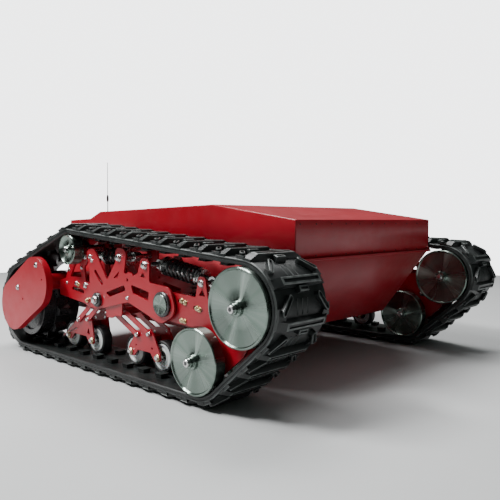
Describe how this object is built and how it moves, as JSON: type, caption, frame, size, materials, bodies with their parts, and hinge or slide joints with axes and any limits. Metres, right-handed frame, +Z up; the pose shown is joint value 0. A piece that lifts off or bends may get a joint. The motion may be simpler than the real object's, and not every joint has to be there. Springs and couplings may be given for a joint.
{
  "type": "tracked tank chassis",
  "caption": "Tracked robot chassis: a red sheet-metal hull between two rubber tracks on sprung side frames, with dished metal front wheels and small link-mounted bogies.",
  "frame": {"origin": "on the floor, under the middle of the chassis", "axes": "+X forward towards the large front wheels, +Y to the chassis's left side, +Z up"},
  "size_m": [0.8934, 0.842, 0.453],
  "materials": {
    "red_paint": "glossy powder coat",
    "track_rubber": "moulded, slightly shiny on the raised edges",
    "tyre_rubber": "matt; the wheel's centre is white nylon",
    "turned_aluminium": "lathe-turned, polished",
    "plated_steel": "zinc plated",
    "black_coated_steel": "satin black",
    "black_plastic": "matt"
  },
  "bodies": {
    "chassis": {"hull_tub": "red_paint", "top_cover": "red_paint", "antenna": "black_plastic", "battery_pack": "black_plastic", "motor_controller": "black_plastic", "right_drive_motor": "plated_steel", "right_track": "track_rubber", "right_chain_case": "red_paint", "right_side_plate_outer": "red_paint", "right_side_frame_inner": "red_paint", "left_drive_motor": "plated_steel", "left_track": "track_rubber", "left_chain_case": "red_paint", "left_side_plate_outer": "red_paint", "left_side_frame_inner": "red_paint"},
    "right_drive_sprocket": {"right_drive_sprocket": "black_plastic"},
    "right_upper_front_wheel": {"right_upper_front_wheel": "turned_aluminium"},
    "right_lower_front_wheel": {"right_lower_front_wheel": "turned_aluminium"},
    "right_idler_wheel": {"right_idler_wheel": "turned_aluminium"},
    "right_front_arm": {"right_front_arm": "red_paint"},
    "right_rear_arm": {"right_rear_arm": "red_paint"},
    "right_front_shock_body": {"right_front_shock_body": "plated_steel", "right_front_spring": "black_coated_steel"},
    "right_front_shock_rod": {"right_front_shock_rod": "plated_steel"},
    "right_rear_shock_body": {"right_rear_shock_body": "plated_steel", "right_rear_spring": "black_coated_steel"},
    "right_rear_shock_rod": {"right_rear_shock_rod": "plated_steel"},
    "right_rear_bogie_first_link": {"right_rear_bogie_first_link": "red_paint"},
    "right_rear_bogie_second_link": {"right_rear_bogie_second_link": "red_paint"},
    "right_rear_bogie_bracket": {"right_rear_bogie_bracket": "red_paint"},
    "right_rear_bogie_rear_wheel": {"right_rear_bogie_rear_wheel": "tyre_rubber"},
    "right_rear_bogie_front_wheel": {"right_rear_bogie_front_wheel": "tyre_rubber"},
    "right_front_bogie_first_link": {"right_front_bogie_first_link": "red_paint"},
    "right_front_bogie_second_link": {"right_front_bogie_second_link": "red_paint"},
    "right_front_bogie_bracket": {"right_front_bogie_bracket": "red_paint"},
    "right_front_bogie_rear_wheel": {"right_front_bogie_rear_wheel": "tyre_rubber"},
    "right_front_bogie_front_wheel": {"right_front_bogie_front_wheel": "tyre_rubber"},
    "left_drive_sprocket": {"left_drive_sprocket": "black_plastic"},
    "left_upper_front_wheel": {"left_upper_front_wheel": "turned_aluminium"},
    "left_lower_front_wheel": {"left_lower_front_wheel": "turned_aluminium"},
    "left_idler_wheel": {"left_idler_wheel": "turned_aluminium"},
    "left_front_arm": {"left_front_arm": "red_paint"},
    "left_rear_arm": {"left_rear_arm": "red_paint"},
    "left_front_shock_body": {"left_front_shock_body": "plated_steel", "left_front_spring": "black_coated_steel"},
    "left_front_shock_rod": {"left_front_shock_rod": "plated_steel"},
    "left_rear_shock_body": {"left_rear_shock_body": "plated_steel", "left_rear_spring": "black_coated_steel"},
    "left_rear_shock_rod": {"left_rear_shock_rod": "plated_steel"},
    "left_rear_bogie_first_link": {"left_rear_bogie_first_link": "red_paint"},
    "left_rear_bogie_second_link": {"left_rear_bogie_second_link": "red_paint"},
    "left_rear_bogie_bracket": {"left_rear_bogie_bracket": "red_paint"},
    "left_rear_bogie_rear_wheel": {"left_rear_bogie_rear_wheel": "tyre_rubber"},
    "left_rear_bogie_front_wheel": {"left_rear_bogie_front_wheel": "tyre_rubber"},
    "left_front_bogie_first_link": {"left_front_bogie_first_link": "red_paint"},
    "left_front_bogie_second_link": {"left_front_bogie_second_link": "red_paint"},
    "left_front_bogie_bracket": {"left_front_bogie_bracket": "red_paint"},
    "left_front_bogie_rear_wheel": {"left_front_bogie_rear_wheel": "tyre_rubber"},
    "left_front_bogie_front_wheel": {"left_front_bogie_front_wheel": "tyre_rubber"}
  },
  "joints": [
    {"name": "right_sprocket_spin", "type": "hinge", "parent": "chassis", "child": "right_drive_sprocket", "pos_m": [-0.338, -0.34, 0.11], "axis": [0, 1, 0], "continuous": true, "deforming": ["right_track"]},
    {"name": "right_front_arm_swing", "type": "hinge", "parent": "chassis", "child": "right_front_arm", "pos_m": [0.154, -0.34, 0.159], "axis": [0, -1, 0], "range_deg": [0, 7], "stiffness_Nm_per_rad": 250, "springref_deg": -2.86},
    {"name": "right_rear_arm_swing", "type": "hinge", "parent": "chassis", "child": "right_rear_arm", "pos_m": [-0.052, -0.34, 0.147], "axis": [0, -1, 0], "range_deg": [-4, 4], "stiffness_Nm_per_rad": 200},
    {"name": "right_upper_front_wheel_spin", "type": "hinge", "parent": "right_front_arm", "child": "right_upper_front_wheel", "pos_m": [0.362, -0.34, 0.177], "axis": [0, 1, 0], "continuous": true},
    {"name": "right_lower_front_wheel_spin", "type": "hinge", "parent": "right_front_arm", "child": "right_lower_front_wheel", "pos_m": [0.262, -0.34, 0.079], "axis": [0, 1, 0], "continuous": true},
    {"name": "right_idler_wheel_spin", "type": "hinge", "parent": "right_rear_arm", "child": "right_idler_wheel", "pos_m": [-0.139, -0.34, 0.245], "axis": [0, 1, 0], "continuous": true},
    {"name": "right_front_shock_swing", "type": "hinge", "parent": "chassis", "child": "right_front_shock_body", "pos_m": [0.102, -0.34, 0.225], "axis": [0, -1, 0], "range_deg": [-0.5, 4.55]},
    {"name": "right_front_shock_slide", "type": "slide", "parent": "right_front_shock_body", "child": "right_front_shock_rod", "axis": [0.9885, 0, -0.151], "range_m": [-0.00801, 0.001], "deforming": ["right_front_spring"]},
    {"name": "right_rear_shock_swing", "type": "hinge", "parent": "chassis", "child": "right_rear_shock_body", "pos_m": [0.021, -0.34, 0.235], "axis": [0, -1, 0], "range_deg": [-2.21, 2.21]},
    {"name": "right_rear_shock_slide", "type": "slide", "parent": "right_rear_shock_body", "child": "right_rear_shock_rod", "axis": [-0.9993, 0, -0.0376], "range_m": [-0.00695, 0.00695], "deforming": ["right_rear_spring"]},
    {"name": "right_rear_bogie_swing", "type": "hinge", "parent": "chassis", "child": "right_rear_bogie_first_link", "pos_m": [-0.052, -0.34, 0.147], "axis": [0, 1, 0], "range_deg": [0, 8]},
    {"name": "right_rear_bogie_second_swing", "type": "hinge", "parent": "chassis", "child": "right_rear_bogie_second_link", "pos_m": [-0.088, -0.34, 0.142], "axis": [0, 1, 0], "range_deg": [-0.5, 8.5]},
    {"name": "right_rear_bogie_level", "type": "hinge", "parent": "right_rear_bogie_first_link", "child": "right_rear_bogie_bracket", "pos_m": [-0.117, -0.34, 0.097], "axis": [0, 1, 0], "range_deg": [-8.5, 0.5]},
    {"name": "right_rear_bogie_rear_wheel_spin", "type": "hinge", "parent": "right_rear_bogie_bracket", "child": "right_rear_bogie_rear_wheel", "pos_m": [-0.198, -0.34, 0.0533], "axis": [0, 1, 0], "continuous": true},
    {"name": "right_rear_bogie_front_wheel_spin", "type": "hinge", "parent": "right_rear_bogie_bracket", "child": "right_rear_bogie_front_wheel", "pos_m": [-0.107, -0.34, 0.0533], "axis": [0, 1, 0], "continuous": true},
    {"name": "right_front_bogie_swing", "type": "hinge", "parent": "chassis", "child": "right_front_bogie_first_link", "pos_m": [-0.022, -0.34, 0.124], "axis": [0, -1, 0], "range_deg": [0, 8]},
    {"name": "right_front_bogie_second_swing", "type": "hinge", "parent": "chassis", "child": "right_front_bogie_second_link", "pos_m": [0.014, -0.34, 0.13], "axis": [0, -1, 0], "range_deg": [-0.5, 8.5]},
    {"name": "right_front_bogie_level", "type": "hinge", "parent": "right_front_bogie_first_link", "child": "right_front_bogie_bracket", "pos_m": [0.056, -0.34, 0.089], "axis": [0, -1, 0], "range_deg": [-8.5, 0.5]},
    {"name": "right_front_bogie_rear_wheel_spin", "type": "hinge", "parent": "right_front_bogie_bracket", "child": "right_front_bogie_rear_wheel", "pos_m": [0.032, -0.34, 0.0533], "axis": [0, 1, 0], "continuous": true},
    {"name": "right_front_bogie_front_wheel_spin", "type": "hinge", "parent": "right_front_bogie_bracket", "child": "right_front_bogie_front_wheel", "pos_m": [0.115, -0.34, 0.0533], "axis": [0, 1, 0], "continuous": true},
    {"name": "left_sprocket_spin", "type": "hinge", "parent": "chassis", "child": "left_drive_sprocket", "pos_m": [-0.338, 0.34, 0.11], "axis": [0, 1, 0], "continuous": true, "deforming": ["left_track"]},
    {"name": "left_front_arm_swing", "type": "hinge", "parent": "chassis", "child": "left_front_arm", "pos_m": [0.154, 0.34, 0.159], "axis": [0, -1, 0], "range_deg": [0, 7], "stiffness_Nm_per_rad": 250, "springref_deg": -2.86},
    {"name": "left_rear_arm_swing", "type": "hinge", "parent": "chassis", "child": "left_rear_arm", "pos_m": [-0.052, 0.34, 0.147], "axis": [0, -1, 0], "range_deg": [-4, 4], "stiffness_Nm_per_rad": 200},
    {"name": "left_upper_front_wheel_spin", "type": "hinge", "parent": "left_front_arm", "child": "left_upper_front_wheel", "pos_m": [0.362, 0.34, 0.177], "axis": [0, 1, 0], "continuous": true},
    {"name": "left_lower_front_wheel_spin", "type": "hinge", "parent": "left_front_arm", "child": "left_lower_front_wheel", "pos_m": [0.262, 0.34, 0.079], "axis": [0, 1, 0], "continuous": true},
    {"name": "left_idler_wheel_spin", "type": "hinge", "parent": "left_rear_arm", "child": "left_idler_wheel", "pos_m": [-0.139, 0.34, 0.245], "axis": [0, 1, 0], "continuous": true},
    {"name": "left_front_shock_swing", "type": "hinge", "parent": "chassis", "child": "left_front_shock_body", "pos_m": [0.102, 0.34, 0.225], "axis": [0, -1, 0], "range_deg": [-0.5, 4.55]},
    {"name": "left_front_shock_slide", "type": "slide", "parent": "left_front_shock_body", "child": "left_front_shock_rod", "axis": [0.9885, 0, -0.151], "range_m": [-0.00801, 0.001], "deforming": ["left_front_spring"]},
    {"name": "left_rear_shock_swing", "type": "hinge", "parent": "chassis", "child": "left_rear_shock_body", "pos_m": [0.021, 0.34, 0.235], "axis": [0, -1, 0], "range_deg": [-2.21, 2.21]},
    {"name": "left_rear_shock_slide", "type": "slide", "parent": "left_rear_shock_body", "child": "left_rear_shock_rod", "axis": [-0.9993, 0, -0.0376], "range_m": [-0.00695, 0.00695], "deforming": ["left_rear_spring"]},
    {"name": "left_rear_bogie_swing", "type": "hinge", "parent": "chassis", "child": "left_rear_bogie_first_link", "pos_m": [-0.052, 0.34, 0.147], "axis": [0, 1, 0], "range_deg": [0, 8]},
    {"name": "left_rear_bogie_second_swing", "type": "hinge", "parent": "chassis", "child": "left_rear_bogie_second_link", "pos_m": [-0.088, 0.34, 0.142], "axis": [0, 1, 0], "range_deg": [-0.5, 8.5]},
    {"name": "left_rear_bogie_level", "type": "hinge", "parent": "left_rear_bogie_first_link", "child": "left_rear_bogie_bracket", "pos_m": [-0.117, 0.34, 0.097], "axis": [0, 1, 0], "range_deg": [-8.5, 0.5]},
    {"name": "left_rear_bogie_rear_wheel_spin", "type": "hinge", "parent": "left_rear_bogie_bracket", "child": "left_rear_bogie_rear_wheel", "pos_m": [-0.198, 0.34, 0.0533], "axis": [0, 1, 0], "continuous": true},
    {"name": "left_rear_bogie_front_wheel_spin", "type": "hinge", "parent": "left_rear_bogie_bracket", "child": "left_rear_bogie_front_wheel", "pos_m": [-0.107, 0.34, 0.0533], "axis": [0, 1, 0], "continuous": true},
    {"name": "left_front_bogie_swing", "type": "hinge", "parent": "chassis", "child": "left_front_bogie_first_link", "pos_m": [-0.022, 0.34, 0.124], "axis": [0, -1, 0], "range_deg": [0, 8]},
    {"name": "left_front_bogie_second_swing", "type": "hinge", "parent": "chassis", "child": "left_front_bogie_second_link", "pos_m": [0.014, 0.34, 0.13], "axis": [0, -1, 0], "range_deg": [-0.5, 8.5]},
    {"name": "left_front_bogie_level", "type": "hinge", "parent": "left_front_bogie_first_link", "child": "left_front_bogie_bracket", "pos_m": [0.056, 0.34, 0.089], "axis": [0, -1, 0], "range_deg": [-8.5, 0.5]},
    {"name": "left_front_bogie_rear_wheel_spin", "type": "hinge", "parent": "left_front_bogie_bracket", "child": "left_front_bogie_rear_wheel", "pos_m": [0.032, 0.34, 0.0533], "axis": [0, 1, 0], "continuous": true},
    {"name": "left_front_bogie_front_wheel_spin", "type": "hinge", "parent": "left_front_bogie_bracket", "child": "left_front_bogie_front_wheel", "pos_m": [0.115, 0.34, 0.0533], "axis": [0, 1, 0], "continuous": true}
  ],
  "couplings": [
    {"joint": "right_upper_front_wheel_spin", "follows": "right_sprocket_spin", "ratio": 1.3692},
    {"joint": "right_lower_front_wheel_spin", "follows": "right_sprocket_spin", "ratio": 1.5345},
    {"joint": "right_idler_wheel_spin", "follows": "right_sprocket_spin", "ratio": 2.697},
    {"joint": "right_front_shock_swing", "follows": "right_front_arm_swing", "ratio": 0.5787},
    {"joint": "right_front_shock_slide", "follows": "right_front_arm_swing", "m_per_rad": -0.05739},
    {"joint": "right_rear_shock_swing", "follows": "right_rear_arm_swing", "ratio": 0.42706},
    {"joint": "right_rear_shock_slide", "follows": "right_rear_arm_swing", "m_per_rad": 0.085195},
    {"joint": "right_rear_bogie_second_swing", "follows": "right_rear_bogie_swing", "ratio": 1},
    {"joint": "right_rear_bogie_level", "follows": "right_rear_bogie_swing", "ratio": -1},
    {"joint": "right_rear_bogie_rear_wheel_spin", "follows": "right_sprocket_spin", "ratio": 2.871},
    {"joint": "right_rear_bogie_front_wheel_spin", "follows": "right_sprocket_spin", "ratio": 2.871},
    {"joint": "right_front_bogie_second_swing", "follows": "right_front_bogie_swing", "ratio": 1},
    {"joint": "right_front_bogie_level", "follows": "right_front_bogie_swing", "ratio": -1},
    {"joint": "right_front_bogie_rear_wheel_spin", "follows": "right_sprocket_spin", "ratio": 2.871},
    {"joint": "right_front_bogie_front_wheel_spin", "follows": "right_sprocket_spin", "ratio": 2.871},
    {"joint": "left_upper_front_wheel_spin", "follows": "left_sprocket_spin", "ratio": 1.3692},
    {"joint": "left_lower_front_wheel_spin", "follows": "left_sprocket_spin", "ratio": 1.5345},
    {"joint": "left_idler_wheel_spin", "follows": "left_sprocket_spin", "ratio": 2.697},
    {"joint": "left_front_shock_swing", "follows": "left_front_arm_swing", "ratio": 0.5787},
    {"joint": "left_front_shock_slide", "follows": "left_front_arm_swing", "m_per_rad": -0.05739},
    {"joint": "left_rear_shock_swing", "follows": "left_rear_arm_swing", "ratio": 0.42706},
    {"joint": "left_rear_shock_slide", "follows": "left_rear_arm_swing", "m_per_rad": 0.085195},
    {"joint": "left_rear_bogie_second_swing", "follows": "left_rear_bogie_swing", "ratio": 1},
    {"joint": "left_rear_bogie_level", "follows": "left_rear_bogie_swing", "ratio": -1},
    {"joint": "left_rear_bogie_rear_wheel_spin", "follows": "left_sprocket_spin", "ratio": 2.871},
    {"joint": "left_rear_bogie_front_wheel_spin", "follows": "left_sprocket_spin", "ratio": 2.871},
    {"joint": "left_front_bogie_second_swing", "follows": "left_front_bogie_swing", "ratio": 1},
    {"joint": "left_front_bogie_level", "follows": "left_front_bogie_swing", "ratio": -1},
    {"joint": "left_front_bogie_rear_wheel_spin", "follows": "left_sprocket_spin", "ratio": 2.871},
    {"joint": "left_front_bogie_front_wheel_spin", "follows": "left_sprocket_spin", "ratio": 2.871}
  ]
}
